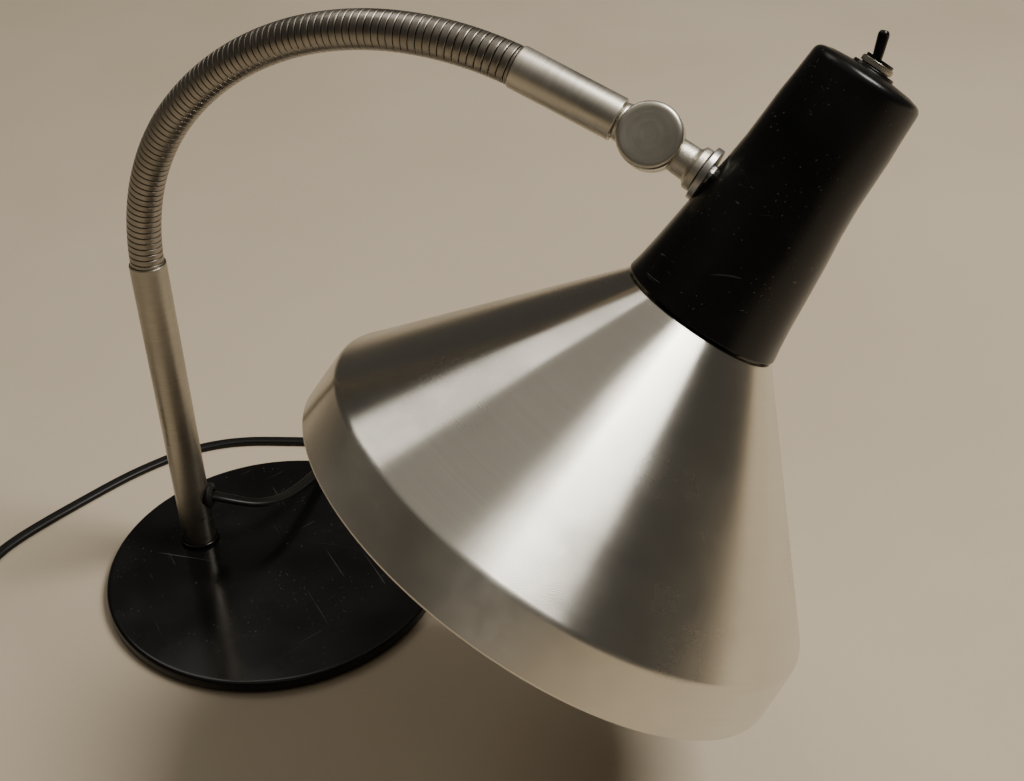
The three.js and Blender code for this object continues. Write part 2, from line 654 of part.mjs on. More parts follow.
function addPlug() {
  const [x, y] = TAIL_ROUTE[TAIL_ROUTE.length - 1];
  const frame = frameAt(lamp, [x, y, 0], { turnZ: PLUG_HEADING });
  const height = PLUG_THICKNESS / 2 + 0.1;
  const boot = turned([
    [1.9, GAP],
    [3.4, GAP],
    [5.2, PLUG_BOOT_LENGTH],
    [1.9, PLUG_BOOT_LENGTH],
    [1.9, GAP],
  ], 16);
  add(frame, 'plug_boot', alongX(boot).translate(0, 0, height), blackRubber);
  const back = PLUG_BOOT_LENGTH + GAP;
  const front = back + PLUG_LENGTH;
  const half = PLUG_WIDTH / 2;
  const outline = new THREE.Shape([
    [back, -6], [back + 8, -8.5], [back + 20, -half], [front, -half],
    [front, half], [back + 20, half], [back + 8, 8.5], [back, 6],
  ].map((corner) => new THREE.Vector2(...corner)));
  const body = new THREE.ExtrudeGeometry(outline, {
    depth: PLUG_THICKNESS - 2, bevelThickness: 1, bevelSize: 0.9, bevelOffset: -0.9, bevelSegments: 1,
  }).translate(0, 0, 1.1);
  add(frame, 'plug_body', outward(body), blackPhenolic);
  for (const side of [-1, 1]) {
    const pin = alongX(rod(PIN_RADIUS, front + GAP, front + PIN_LENGTH, 12));
    pin.translate(0, side * PIN_SPACING / 2, height);
    add(frame, `plug_pin_${side < 0 ? 'left' : 'right'}`, pin, brass);
  }
}

addStem(addBase());
addNeck();

const neckEnd = neckAt(NECK_LENGTH).point;
const sleeveReach = SLEEVE_LENGTH + SLEEVE_TO_KNUCKLE;
const knuckleCentre = [
  neckEnd.x + sleeveReach * Math.cos(SLEEVE_SLOPE),
  0,
  neckEnd.z - sleeveReach * Math.sin(SLEEVE_SLOPE),
];
const sleeveFrame = frameAt(lamp, knuckleCentre, { turnY: SLEEVE_SLOPE });
addSleeve(sleeveFrame);
const knuckleFrame = frameAt(sleeveFrame, [0, 0, 0], { turnX: -KNUCKLE_ROLL });
addKnuckleRear(knuckleFrame);
const swivelFrame = frameAt(knuckleFrame, [0, 0, 0], { turnY: KNUCKLE_TILT });
addKnuckleFront(swivelFrame);
const head = frameAt(frameAt(swivelFrame, [0, 0, 0], { turnX: HEAD_SWIVEL }),
  [HEAD_OFFSET, 0, -JUNCTION_DROP]);
addHousing(head);
addShade(head);
addLampholder(head);
addSwitch(head);
addCord();
addPlug();

export default lamp;
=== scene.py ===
"""Gooseneck desk lamp on a plain table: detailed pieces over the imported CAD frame.

Lengths are millimetres in the helpers below and metres in every mesh.
"""
import math

import bpy
import numpy as np
from mathutils import Matrix, Vector


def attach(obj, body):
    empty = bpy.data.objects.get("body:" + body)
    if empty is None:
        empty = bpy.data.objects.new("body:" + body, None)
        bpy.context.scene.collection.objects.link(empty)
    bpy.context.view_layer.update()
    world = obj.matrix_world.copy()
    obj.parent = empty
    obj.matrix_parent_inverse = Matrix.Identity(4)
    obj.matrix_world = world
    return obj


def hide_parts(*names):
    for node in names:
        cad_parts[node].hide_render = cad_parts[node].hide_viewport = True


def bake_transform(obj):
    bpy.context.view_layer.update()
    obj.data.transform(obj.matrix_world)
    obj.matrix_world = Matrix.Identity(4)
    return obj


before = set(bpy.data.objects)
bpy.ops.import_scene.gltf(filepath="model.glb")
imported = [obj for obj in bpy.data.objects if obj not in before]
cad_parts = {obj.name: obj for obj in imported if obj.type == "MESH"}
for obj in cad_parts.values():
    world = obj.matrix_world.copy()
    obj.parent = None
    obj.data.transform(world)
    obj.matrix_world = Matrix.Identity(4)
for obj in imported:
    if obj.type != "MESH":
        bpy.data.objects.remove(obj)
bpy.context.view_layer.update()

MM = 0.001
TAU = 2 * math.pi
UV_PER_MM = 0.01

# Sizes shared with the CAD model, in mm and degrees
STEM_X = -46.4
STEM_TOP = 171.0
OUTLET_Z = 35.5
OUTLET_AZIMUTH = 20
NECK_HEADING = 88.45
NECK_ARCS = [(120.3, 41.94), (147.5, 64.03)]
NECK_LENGTH = sum(radius * math.radians(turn) for radius, turn in NECK_ARCS)
NECK_JOINTS = 7
NECK_PITCH = NECK_LENGTH / NECK_JOINTS
NECK_RADIUS = 7.6
NECK_END_GAP = 0.3
BEND_MARGIN = 6
RIB_PITCH = 3.0
RINGS_PER_RIB = 20
GROOVE_WIDTH = 0.2
GROOVE_DEPTH = 0.4
SLEEVE_SLOPE = 20.2
SLEEVE_REACH = 54.9
KNUCKLE_ROLL = -31.43
KNUCKLE_TILT = 6.47
HEAD_SWIVEL = 8.94
HEAD_OFFSET = 50.5
JUNCTION_DROP = 41.7
SWITCH_PIVOT = 101.5
LEVER_LEAN = -20
COIL_CENTRE = (-178.0, -94.0)
COIL_TURNS = 6
COIL_STEP = 1 / 40
CORD_SPACING = 2.2
ROUTE_SPACING = 2.0
CORD_ROUTE = [
    (-39.9, 2.3, 35.5), (-36.2, 3.6, 35.4), (-32.0, 5.2, 34.4), (-28.0, 7.4, 32.8), (-23.6, 10.4, 30.6),
    (-18.8, 14.6, 28.0), (-15.2, 20.4, 25.4), (-13.0, 27.8, 22.6), (-12.2, 36.6, 19.8),
    (-12.2, 46.2, 17.2), (-12.8, 56.0, 14.8), (-13.4, 65.8, 12.4), (-14.2, 75.0, 10.2),
    (-15.4, 83.4, 8.6), (-18.0, 91.4, 6.0), (-23.4, 98.0, 3.4), (-31.6, 101.4, 2.0),
    (-40.8, 100.4, 1.7), (-51.2, 96.6, 1.7), (-62.2, 92.4, 1.7), (-73.2, 87.6, 1.7),
    (-84.8, 80.6, 1.7), (-95.6, 71.2, 1.7), (-103.4, 61.2, 1.7), (-110.4, 49.4, 1.7),
    (-116.8, 36.6, 1.7), (-122.0, 23.6, 1.7), (-126.8, 9.8, 1.7), (-131.4, -4.0, 1.7),
    (-135.8, -18.0, 1.7), (-139.4, -31.6, 1.7), (-141.2, -44.0, 1.7), (-140.6, -56.0, 1.9),
    (-138.6, -66.0, 2.3), (-137.2, -74.0, 2.7),
]
TAIL_ROUTE = [(-221.6, -88.0, 6.2), (-222.0, -80.0, 6.5), (-222.8, -72.0, 6.8), (-224.2, -64.0, 6.9),
              (-226.2, -56.0, 6.9)]
PLUG_HEADING = 105
PLUG_HEIGHT = 6.9
PIN_REACH = 9.3


# ------------------------------------------------------------ frames and curves

def moved(x, y, z):
    """4x4 matrix that moves by x, y, z."""
    return np.array(Matrix.Translation((x, y, z)))


def turned(axis, degrees):
    """4x4 matrix that turns about a main axis."""
    return np.array(Matrix.Rotation(math.radians(degrees), 4, axis))


def neck_at(s):
    """Centre point and heading of the gooseneck at arc length s: two arcs joined end to end."""
    x, z, heading, left = STEM_X, STEM_TOP, math.radians(NECK_HEADING), s
    for radius, turn in NECK_ARCS:
        angle = min(left / radius, math.radians(turn))
        x += radius * (math.sin(heading) - math.sin(heading - angle))
        z += radius * (math.cos(heading - angle) - math.cos(heading))
        heading -= angle
        left -= radius * angle
        if left <= 1e-9:
            break
    return np.array([x, 0.0, z]), heading


neck_end, _ = neck_at(NECK_LENGTH)
slope = math.radians(SLEEVE_SLOPE)
knuckle = neck_end + SLEEVE_REACH * np.array([math.cos(slope), 0, -math.sin(slope)])
STEM = moved(STEM_X, 0, 0)
SLEEVE = moved(*knuckle) @ turned("Y", SLEEVE_SLOPE)
KNUCKLE = SLEEVE @ turned("X", KNUCKLE_ROLL)
SWIVEL = KNUCKLE @ turned("Y", KNUCKLE_TILT)
HEAD = SWIVEL @ turned("X", HEAD_SWIVEL) @ moved(HEAD_OFFSET, 0, -JUNCTION_DROP)
ALONG_X = turned("Y", 90)
ALONG_Y = turned("X", -90)


def smooth_path(points, spacing):
    """Even points along a Catmull-Rom curve through points, about spacing apart.

    Between b and c, with a before and d after, the curve is half of
    2 b + (c - a) t + (2 a - 5 b + 4 c - d) t^2 + (3 b - a - 3 c + d) t^3, for t from 0 to 1.
    """
    p = np.array(points, float)
    p = np.vstack([2 * p[0] - p[1], p, 2 * p[-1] - p[-2]])
    dense = []
    for i in range(1, len(p) - 2):
        t = np.linspace(0, 1, 24, endpoint=False)[:, None]
        a, b, c, d = p[i - 1], p[i], p[i + 1], p[i + 2]
        dense.append(0.5 * (2 * b + (c - a) * t + (2 * a - 5 * b + 4 * c - d) * t ** 2
                            + (3 * b - a - 3 * c + d) * t ** 3))
    dense = np.vstack(dense + [p[-2][None]])
    return even(dense, spacing)


def even(points, spacing):
    """The same line with its points an even distance apart."""
    reach = np.concatenate([[0], np.cumsum(np.linalg.norm(np.diff(points, axis=0), axis=1))])
    count = max(3, int(round(reach[-1] / spacing)) + 1)
    at = np.linspace(0, reach[-1], count)
    return np.stack([np.interp(at, reach, points[:, k]) for k in range(3)], axis=1)


# ------------------------------------------------------------ meshes

def make_mesh(name, points, faces, uvs, turn):
    """A smooth-shaded object from points in mm, a UV per face corner and a turn vector per point."""
    mesh = bpy.data.meshes.new(name)
    mesh.from_pydata((points * MM).tolist(), [], faces)
    mesh.uv_layers.new(name="UVMap").data.foreach_set("uv", uvs.astype(np.float32).ravel())
    attribute = mesh.attributes.new("turn", "FLOAT_VECTOR", "POINT")
    attribute.data.foreach_set("vector", turn.astype(np.float32).ravel())
    mesh.polygons.foreach_set("use_smooth", [True] * len(mesh.polygons))
    mesh.validate()
    mesh.update()
    obj = bpy.data.objects.new(name, mesh)
    bpy.context.scene.collection.objects.link(obj)
    return obj


def eased(corners, steps=6):
    """Profile with its corners rounded. A corner is (radius, height) or (radius, height, fillet).

    A rounded corner is the parabola (1 - t)^2 a + 2 t (1 - t) corner + t^2 b, from a to b on its
    two sides, with one point just outside each end to hold the flat faces flat.
    """
    corners = [tuple(c) if len(c) == 3 else (*c, 0.0) for c in corners]
    points = []
    for i, (r, z, fillet) in enumerate(corners):
        if fillet <= 0 or i in (0, len(corners) - 1):
            points.append((r, z))
            continue
        here = np.array([r, z])
        back = np.array(corners[i - 1][:2]) - here
        ahead = np.array(corners[i + 1][:2]) - here
        reach = min(fillet, 0.45 * np.linalg.norm(back), 0.45 * np.linalg.norm(ahead))
        a = here + back / np.linalg.norm(back) * reach
        b = here + ahead / np.linalg.norm(ahead) * reach
        points.append(tuple(a + (a - here) * 0.12))
        for k in range(steps + 1):
            t = k / steps
            points.append(tuple((1 - t) ** 2 * a + 2 * t * (1 - t) * here + t ** 2 * b))
        points.append(tuple(b + (b - here) * 0.12))
    return points


def surface(name, grid, along, turn, close_rows=False, capped=False):
    """Mesh over a grid of points (rows, columns, 3) whose columns run round and close.

    A row drawn together at one point becomes a single vertex. U is along for each row, with one
    more value where the rows close too, and V runs from 0 to 1 round the columns.
    """
    rows, columns = grid.shape[:2]
    pole = np.ptp(grid, axis=1).max(axis=1) < 1e-6
    first = np.concatenate([[0], np.cumsum(np.where(pole, 1, columns))[:-1]])
    index = first[:, None] + np.where(pole[:, None], 0, np.arange(columns))
    kept = ~pole[:, None] | (np.arange(columns) == 0)
    here = np.arange(rows if close_rows else rows - 1)
    ahead = (here + 1) % rows
    beside = np.roll(index, -1, axis=1)
    quads = np.stack([index[here], beside[here], beside[ahead], index[ahead]], axis=-1)
    v = np.arange(columns) / columns
    u_here, u_ahead = along[here][:, None] + 0 * v, along[here + 1][:, None] + 0 * v
    v_here, v_beside = v + 0 * u_here, v + 1 / columns + 0 * u_here
    uvs = np.stack([np.stack([u_here, v_here], -1), np.stack([u_here, v_beside], -1),
                    np.stack([u_ahead, v_beside], -1), np.stack([u_ahead, v_here], -1)], axis=2)
    faces, corners = [], []
    for rows_of_kind, order in ((~pole[here] & ~pole[ahead], [0, 1, 2, 3]),
                                (pole[here] & ~pole[ahead], [0, 2, 3]),
                                (~pole[here] & pole[ahead], [0, 1, 2])):
        faces += quads[rows_of_kind][:, :, order].reshape(-1, len(order)).tolist()
        corners.append(uvs[rows_of_kind][:, :, order].reshape(-1, 2))
    if capped:
        faces += [index[0, ::-1].tolist(), index[-1].tolist()]
        corners.append(np.zeros((2 * columns, 2)))
    return make_mesh(name, grid[kept], faces, np.vstack(corners), turn[kept])


def turn_map(run, angle, off_axis=1.0):
    """Coordinates for lines round a piece: metres along, then the cosine and sine round it."""
    return np.stack(np.broadcast_arrays(run[:, None] * MM, off_axis * np.cos(angle),
                                        off_axis * np.sin(angle)), axis=-1)


def lathe(name, corners, matrix, segments=128, knurl=None, steps=6):
    """A turned piece: the profile swept round the frame's Z axis, faces outward.

    Point = ((r + knurl) cos a, (r + knurl) sin a, z) for each (r, z) of the profile and each
    angle a. The profile closes on itself, or starts and ends on the axis. U runs along the
    profile and V round the axis.
    """
    profile = np.array(eased(corners, steps), float)
    r, z = profile.T
    if np.sum(r * np.roll(z, -1) - np.roll(r, -1) * z) < 0:
        profile = profile[::-1]
    closed = np.allclose(profile[0], profile[-1])
    if closed:
        profile = profile[:-1]
    r, z = profile.T
    run = np.concatenate([[0], np.cumsum(np.hypot(np.diff(r), np.diff(z))), [0]])
    run[-1] = run[-2] + 1
    angle = np.arange(segments) * TAU / segments
    on_axis = (r < 1e-6)[:, None]
    added = 0.0 if knurl is None else np.array([knurl(angle, *point) for point in profile])
    radius = np.where(on_axis, 0.0, r[:, None] + added + 0 * angle)
    grid = np.stack([radius * np.cos(angle), radius * np.sin(angle), z[:, None] + 0 * angle,
                     np.ones_like(radius)], axis=-1) @ np.asarray(matrix).T
    turn = turn_map(run[:-1], angle, np.where(on_axis, 0.0, 1.0))
    return surface(name, grid[:, :, :3], run * UV_PER_MM, turn, close_rows=closed)


def sweep(name, path, section):
    """A cord: the closed section (side, up) carried along the path, level where it lies flat.

    Point = path + side * s + lift * t, with side level and square to the path, and lift square
    to both.
    """
    section = section[::-1]
    tangent = np.gradient(path, axis=0)
    tangent /= np.linalg.norm(tangent, axis=1)[:, None]
    side = np.cross(tangent, [0.0, 0.0, 1.0])
    side /= np.linalg.norm(side, axis=1)[:, None]
    lift = np.cross(side, tangent)
    grid = (path[:, None] + section[None, :, :1] * side[:, None]
            + section[None, :, 1:] * lift[:, None])
    run = np.concatenate([[0], np.cumsum(np.linalg.norm(np.diff(path, axis=0), axis=1))])
    angle = TAU * np.arange(len(section)) / len(section)
    return surface(name, grid, run * UV_PER_MM, turn_map(run, angle), capped=True)


def placed(obj, body, slot, material, *nodes):
    """Fixes a piece to its body and material, in place of the CAD nodes it stands for."""
    obj.data.materials.append(material)
    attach(obj, body)
    if nodes:
        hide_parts(*nodes)
    return obj


# ------------------------------------------------------------ materials

def add_node(tree, kind, links=(), **settings):
    """A shader node with settings, and links as {input: value or output socket}."""
    node = tree.nodes.new(kind)
    for key, value in settings.items():
        setattr(node, key, value)
    for key, value in dict(links).items():
        if isinstance(value, bpy.types.NodeSocket):
            tree.links.new(value, node.inputs[key])
        else:
            node.inputs[key].default_value = value
    return node


def group(name, outputs, inputs=()):
    """An empty shader group with its sockets, and its input and output nodes."""
    tree = bpy.data.node_groups.new(name, "ShaderNodeTree")
    for label, kind, value in inputs:
        socket = tree.interface.new_socket(name=label, in_out="INPUT", socket_type=kind)
        if value is not None:
            socket.default_value = value
    for label, kind in outputs:
        tree.interface.new_socket(name=label, in_out="OUTPUT", socket_type=kind)
    return tree, tree.nodes.new("NodeGroupInput"), tree.nodes.new("NodeGroupOutput")


def ramp(tree, value, low, high, low_out=0.0, high_out=1.0):
    """Output that runs from low_out to high_out as value runs from low to high."""
    node = add_node(tree, "ShaderNodeMapRange", {"Value": value, "From Min": low, "From Max": high,
                                                 "To Min": low_out, "To Max": high_out})
    return node.outputs["Result"]


def math_node(tree, operation, a, b):
    """The output of one arithmetic step on a and b."""
    return add_node(tree, "ShaderNodeMath", {0: a, 1: b}, operation=operation).outputs[0]


def scaled(tree, vector, scale):
    """The vector times scale, axis by axis."""
    node = add_node(tree, "ShaderNodeVectorMath", {0: vector, 1: scale}, operation="MULTIPLY")
    return node.outputs[0]


def noise(tree, vector, scale, detail=3.0, roughness=0.55):
    """Smooth random values from 0 to 1; a larger scale makes a finer grain."""
    return add_node(tree, "ShaderNodeTexNoise", {"Vector": vector, "Scale": scale, "Detail": detail,
                                                 "Roughness": roughness}).outputs["Fac"]


def wear_group():
    """Masks of handling wear: soft smudges, dust specks and fine random scratches."""
    tree, gin, gout = group("handling_wear", [("Smudge", "NodeSocketFloat"),
                                              ("Dust", "NodeSocketFloat"),
                                              ("Scratch", "NodeSocketFloat")],
                            [("Vector", "NodeSocketVector", None)])
    vector = gin.outputs["Vector"]
    tree.links.new(ramp(tree, noise(tree, vector, 26, 4), 0.38, 0.72), gout.inputs["Smudge"])
    cells = add_node(tree, "ShaderNodeTexVoronoi", {"Vector": vector, "Scale": 420.0, "Randomness": 1.0})
    speck = ramp(tree, cells.outputs["Distance"], 0.13, 0.04)
    patch = ramp(tree, noise(tree, vector, 60, 2), 0.5, 0.62)
    tree.links.new(math_node(tree, "MULTIPLY", speck, patch), gout.inputs["Dust"])
    lines = []
    for turn_deg, stretch in ((25, 1.0), (-52, 1.3), (80, 0.8)):
        rotate = add_node(tree, "ShaderNodeVectorRotate",
                          {"Vector": vector, "Angle": math.radians(turn_deg)}, rotation_type="Z_AXIS")
        stretched = scaled(tree, rotate.outputs[0], (900.0 * stretch, 14.0, 900.0 * stretch))
        fine = noise(tree, stretched, 1.0, 1.0, 0.4)
        gate = ramp(tree, noise(tree, rotate.outputs[0], 45 * stretch, 1), 0.54, 0.66)
        lines.append(math_node(tree, "MULTIPLY", ramp(tree, fine, 0.71, 0.78), gate))
    both = math_node(tree, "MAXIMUM", lines[0], lines[1])
    tree.links.new(math_node(tree, "MAXIMUM", both, lines[2]), gout.inputs["Scratch"])
    return tree


def turning_group():
    """Height and tone of fine tool lines that run round a turned or spun piece."""
    tree, gin, gout = group("turning_lines", [("Height", "NodeSocketFloat"),
                                              ("Tone", "NodeSocketFloat")],
                            [("Pitch", "NodeSocketFloat", 1.0)])
    attribute = add_node(tree, "ShaderNodeAttribute", attribute_name="turn")
    heights = []
    for across, around, weight in ((5200.0, 1.4, 0.5), (2100.0, 0.9, 0.3), (700.0, 0.6, 0.2)):
        stretched = scaled(tree, attribute.outputs["Vector"], (across, around, around))
        line = noise(tree, stretched, 1.0, 2.0, 0.6)
        heights.append(math_node(tree, "MULTIPLY", line, weight))
    total = math_node(tree, "ADD", math_node(tree, "ADD", heights[0], heights[1]), heights[2])
    scaled_height = math_node(tree, "MULTIPLY", total, gin.outputs["Pitch"])
    tree.links.new(scaled_height, gout.inputs["Height"])
    tree.links.new(ramp(tree, total, 0.36, 0.64), gout.inputs["Tone"])
    return tree


WEAR = wear_group()
LINES = turning_group()
DUST = (0.32, 0.29, 0.25)
HANDLING_FILM = (0.2, 0.18, 0.16)
PALE_SCUFF = (0.3, 0.28, 0.25)
# Painted shade: the near-black colour put into the gooseneck's grooves, standing in for the shade inside
# them.
GROOVE_PAINTED_SHADE = (0.015, 0.013, 0.011)


def shader(name, metallic, roughness, **inputs):
    """A material with its Principled shader; the inputs are uniform values."""
    material = bpy.data.materials.new(name)
    material.use_nodes = True
    tree = material.node_tree
    bsdf = tree.nodes["Principled BSDF"]
    bsdf.inputs["Metallic"].default_value = metallic
    bsdf.inputs["Roughness"].default_value = roughness
    for key, value in inputs.items():
        bsdf.inputs[key.replace("_", " ")].default_value = value
    return material, tree, bsdf


def use_group(tree, source, links=()):
    """A node that runs the shared group source in this material."""
    return add_node(tree, "ShaderNodeGroup", links, node_tree=source)


def mixed(tree, factor, a, b):
    """Colour between a and b by factor."""
    node = add_node(tree, "ShaderNodeMix", {0: factor}, data_type="RGBA")
    for key, value in ((6, a), (7, b)):
        if isinstance(value, bpy.types.NodeSocket):
            tree.links.new(value, node.inputs[key])
        else:
            node.inputs[key].default_value = (*value, 1.0)
    return node.outputs[2]


def add_bump(tree, bsdf, height, distance):
    """Tilts the shading normal by the slope of height times distance, in metres."""
    bump = add_node(tree, "ShaderNodeBump", {"Height": height, "Distance": distance, "Strength": 1.0})
    tree.links.new(bump.outputs["Normal"], bsdf.inputs["Normal"])


def object_vector(tree):
    """Place on the piece, in its own frame."""
    return add_node(tree, "ShaderNodeTexCoord").outputs["Object"]


def metal(name, dark, light, roughness, anisotropy=0.0, line_depth=0.00002, grain=0.0, scratch=0.5,
          shade_grooves=False, line_roughness=0.05):
    """Turned or brushed metal: tool lines round the piece, smudges and small scratches, and, where asked,
    painted shade in the gooseneck's grooves.
    """
    material, tree, bsdf = shader(name, 1.0, roughness, Anisotropic=anisotropy)
    lines = use_group(tree, LINES)
    wear = use_group(tree, WEAR, {"Vector": object_vector(tree)})
    tone = mixed(tree, lines.outputs["Tone"], dark, light)
    tone = mixed(tree, math_node(tree, "MULTIPLY", wear.outputs["Smudge"], 0.35), tone, dark)
    tone = mixed(tree, math_node(tree, "MULTIPLY", wear.outputs["Scratch"], scratch), tone,
                 tuple(min(1.0, c * 1.25) for c in light))
    if shade_grooves:
        # Painted shade: colour darkened towards near black along the groove attribute, in place of the
        # shade inside the grooves.
        groove = add_node(tree, "ShaderNodeAttribute", attribute_name="groove").outputs["Fac"]
        tone = mixed(tree, ramp(tree, groove, 0.15, 0.75), tone, GROOVE_PAINTED_SHADE)
    tree.links.new(tone, bsdf.inputs["Base Color"])
    base = ramp(tree, wear.outputs["Smudge"], 0, 1, roughness * 0.85, roughness * 1.3)
    lined = math_node(tree, "MULTIPLY", lines.outputs["Tone"], line_roughness)
    tree.links.new(math_node(tree, "ADD", base, lined), bsdf.inputs["Roughness"])
    height = lines.outputs["Height"]
    if grain:
        pits = noise(tree, object_vector(tree), 900, 4, 0.7)
        height = math_node(tree, "ADD", height, math_node(tree, "MULTIPLY", pits, grain))
    add_bump(tree, bsdf, height, line_depth)
    if anisotropy:
        tangent = add_node(tree, "ShaderNodeTangent", direction_type="UV_MAP", uv_map="UVMap")
        tree.links.new(tangent.outputs[0], bsdf.inputs["Tangent"])
    return material


def dark_gloss(name, colour, roughness, ripple, dust=0.5, **inputs):
    """Black enamel, bakelite or plastic: faint ripple, smudges, dust specks and scratches."""
    material, tree, bsdf = shader(name, 0.0, roughness, **inputs)
    vector = object_vector(tree)
    wear = use_group(tree, WEAR, {"Vector": vector})
    dusty = math_node(tree, "MULTIPLY", wear.outputs["Dust"], dust)
    tone = mixed(tree, dusty, colour, DUST)
    film = math_node(tree, "MULTIPLY", wear.outputs["Smudge"], 0.012)
    tone = mixed(tree, film, tone, HANDLING_FILM)
    tone = mixed(tree, math_node(tree, "MULTIPLY", wear.outputs["Scratch"], 0.22), tone, PALE_SCUFF)
    tree.links.new(tone, bsdf.inputs["Base Color"])
    base = ramp(tree, wear.outputs["Smudge"], 0, 1, roughness * 0.8, roughness * 1.45)
    rough = math_node(tree, "ADD", base, math_node(tree, "MULTIPLY", wear.outputs["Dust"], 0.3))
    tree.links.new(rough, bsdf.inputs["Roughness"])
    fine = noise(tree, vector, 340, 3)
    broad = noise(tree, vector, 38, 2)
    height = math_node(tree, "ADD", math_node(tree, "MULTIPLY", fine, 0.35), broad)
    add_bump(tree, bsdf, height, ripple)
    return material


def soft_matt(name, colour, light, roughness, grain_scale, grain, **inputs):
    """Rubber, PVC or felt: grainy surface, paler where it is rubbed."""
    material, tree, bsdf = shader(name, 0.0, roughness, **inputs)
    vector = object_vector(tree)
    wear = use_group(tree, WEAR, {"Vector": vector})
    fine = noise(tree, vector, grain_scale, 4, 0.65)
    tone = mixed(tree, ramp(tree, fine, 0.35, 0.7), colour, light)
    tone = mixed(tree, math_node(tree, "MULTIPLY", wear.outputs["Dust"], 0.5), tone, PALE_SCUFF)
    tree.links.new(tone, bsdf.inputs["Base Color"])
    tree.links.new(ramp(tree, wear.outputs["Smudge"], 0, 1, roughness * 0.85, min(1, roughness * 1.15)),
                   bsdf.inputs["Roughness"])
    add_bump(tree, bsdf, fine, grain)
    return material


def opal(name):
    """White opal glass: a faint cloudiness under a clear skin."""
    material, tree, bsdf = shader(name, 0.0, 0.28, Subsurface_Weight=0.35, Subsurface_Scale=0.004,
                                  Coat_Weight=0.5, Coat_Roughness=0.06)
    vector = object_vector(tree)
    cloud = ramp(tree, noise(tree, vector, 40, 3), 0.35, 0.7)
    tree.links.new(mixed(tree, cloud, (0.86, 0.85, 0.81), (0.93, 0.92, 0.89)), bsdf.inputs["Base Color"])
    add_bump(tree, bsdf, noise(tree, vector, 500, 2), 0.000004)
    return material


M = {
    "base_enamel": dark_gloss("black_enamel", (0.0032, 0.0032, 0.0034), 0.17, 0.00004, 0.4,
                              Specular_IOR_Level=0.34),
    "phenolic": dark_gloss("black_moulding", (0.0030, 0.0029, 0.0029), 0.25, 0.00003, 0.25,
                           Specular_IOR_Level=0.3),
    "nickel": metal("dull_nickel", (0.36, 0.335, 0.285), (0.46, 0.43, 0.37), 0.3, 0.35, 0.000008),
    "bright_nickel": metal("bright_nickel", (0.60, 0.565, 0.485), (0.70, 0.665, 0.58), 0.36, 0.0, 0.000004,
                           scratch=0.3),
    "neck_nickel": metal("neck_nickel", (0.27, 0.245, 0.21), (0.40, 0.37, 0.32), 0.34, 0.0, 0.000004,
                         shade_grooves=True),
    "cast_nickel": metal("cast_nickel", (0.48, 0.455, 0.385), (0.66, 0.63, 0.54), 0.44, 0.0, 0.00009, 1.6),
    "zinc": metal("zinc_plate", (0.42, 0.41, 0.38), (0.58, 0.57, 0.54), 0.36, 0.0, 0.00001),
    "spun_aluminium": metal("spun_aluminium", (0.69, 0.668, 0.600), (0.75, 0.728, 0.660), 0.23, 0.97,
                            0.0000004, scratch=0.08, line_roughness=0.008),
    "brass": metal("satin_brass", (0.52, 0.35, 0.14), (0.72, 0.53, 0.26), 0.3, 0.2, 0.00001),
    "rubber": soft_matt("black_rubber", (0.004, 0.004, 0.004), (0.009, 0.009, 0.008), 0.62, 900, 0.00003,
                        Specular_IOR_Level=0.25),
    "pvc_flex": soft_matt("black_pvc", (0.004, 0.004, 0.004), (0.008, 0.008, 0.007), 0.42, 700, 0.00001,
                          Specular_IOR_Level=0.25),
    "felt": soft_matt("black_felt", (0.012, 0.012, 0.012), (0.05, 0.048, 0.045), 0.95, 1800, 0.0003,
                      Sheen_Weight=0.5, Sheen_Roughness=0.6),
    "opal_glass": opal("opal_glass"),
    "steatite": soft_matt("steatite", (0.72, 0.70, 0.64), (0.82, 0.80, 0.75), 0.55, 600, 0.00001),
}

# ------------------------------------------------------------ camera

camera_data = bpy.data.cameras.new("camera")
camera_data.sensor_width = 36.0
camera_data.lens = 47.4
camera_data.clip_start = 0.01
camera_data.clip_end = 20.0
camera = bpy.data.objects.new("camera", camera_data)
bpy.context.scene.collection.objects.link(camera)
right = np.array([0.91783, 0.39667, -0.01535])
look = np.array([-0.33450, 0.75201, -0.56797])
lift = np.cross(right, look)
basis = np.eye(4)
basis[:3, 0], basis[:3, 1], basis[:3, 2] = right, lift, -look
basis[:3, 3] = np.array([323.17, -425.75, 468.80]) * MM
camera.matrix_world = Matrix(basis.tolist())
bpy.context.scene.camera = camera


# ------------------------------------------------------------ cord

def twin_section(lobe=1.6, apart=1.4, count=7):
    """Outline of flat twin flex: two round cores side by side with a shallow waist between.

    Each core is an arc of 230 degrees of radius lobe, its centre apart mm from the middle.
    """
    right_core = np.radians(np.linspace(-115, 115, count))
    left_core = np.radians(np.linspace(65, 295, count))
    angle = np.concatenate([right_core, left_core])
    centre = np.repeat([apart, -apart], count)
    return np.stack([centre + lobe * np.cos(angle), lobe * np.sin(angle)], axis=1)


